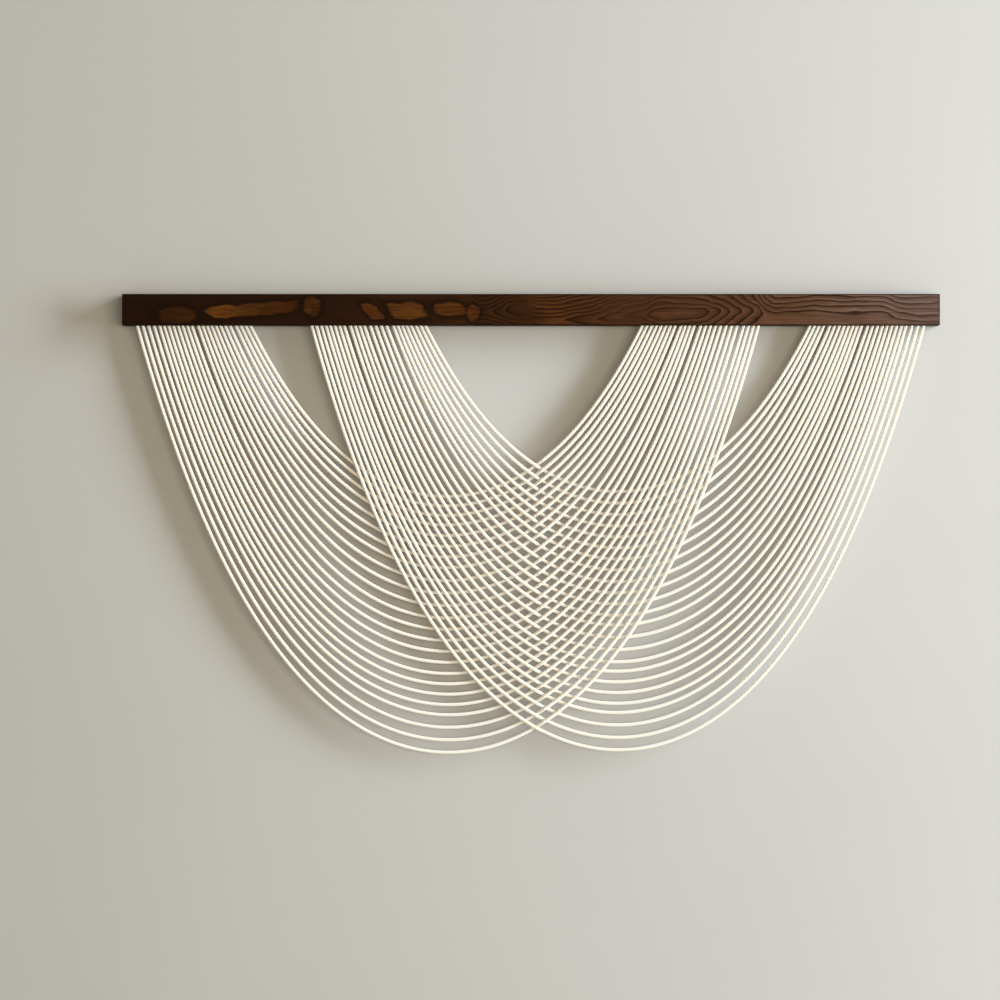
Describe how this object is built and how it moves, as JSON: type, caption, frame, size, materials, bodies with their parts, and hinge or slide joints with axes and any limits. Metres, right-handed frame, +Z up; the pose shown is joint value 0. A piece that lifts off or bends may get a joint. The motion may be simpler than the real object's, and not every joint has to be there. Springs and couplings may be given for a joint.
{
  "type": "macrame wall hanging on a wooden bar",
  "caption": "Interlaced swags of cream cotton cord that hang as catenaries from the underside of a dark-stained square wooden bar.",
  "frame": {"origin": "centre of the bar's flat back face, which lies against the wall", "axes": "+X along the bar to the right as seen from the room, +Y from the room into the wall, +Z up"},
  "size_m": [0.99, 0.038, 0.5574],
  "materials": {
    "dark_wood": "dark walnut stain under a satin oil finish",
    "cotton_cord": "matt cream twisted cotton"
  },
  "bodies": {
    "root": {"bar": "dark_wood", "left_cord_01": "cotton_cord", "left_cord_02": "cotton_cord", "left_cord_03": "cotton_cord", "left_cord_04": "cotton_cord", "left_cord_05": "cotton_cord", "left_cord_06": "cotton_cord", "left_cord_07": "cotton_cord", "left_cord_08": "cotton_cord", "left_cord_09": "cotton_cord", "left_cord_10": "cotton_cord", "left_cord_11": "cotton_cord", "left_cord_12": "cotton_cord", "left_cord_13": "cotton_cord", "left_cord_14": "cotton_cord", "left_cord_15": "cotton_cord", "left_cord_16": "cotton_cord", "left_cord_17": "cotton_cord", "left_cord_18": "cotton_cord", "left_cord_19": "cotton_cord", "left_cord_20": "cotton_cord", "left_cord_21": "cotton_cord", "left_cord_22": "cotton_cord", "left_cord_23": "cotton_cord", "left_cord_24": "cotton_cord", "right_cord_01": "cotton_cord", "right_cord_02": "cotton_cord", "right_cord_03": "cotton_cord", "right_cord_04": "cotton_cord", "right_cord_05": "cotton_cord", "right_cord_06": "cotton_cord", "right_cord_07": "cotton_cord", "right_cord_08": "cotton_cord", "right_cord_09": "cotton_cord", "right_cord_10": "cotton_cord", "right_cord_11": "cotton_cord", "right_cord_12": "cotton_cord", "right_cord_13": "cotton_cord", "right_cord_14": "cotton_cord", "right_cord_15": "cotton_cord", "right_cord_16": "cotton_cord", "right_cord_17": "cotton_cord", "right_cord_18": "cotton_cord", "right_cord_19": "cotton_cord", "right_cord_20": "cotton_cord", "right_cord_21": "cotton_cord", "right_cord_22": "cotton_cord", "right_cord_23": "cotton_cord", "right_cord_24": "cotton_cord"}
  },
  "joints": []
}
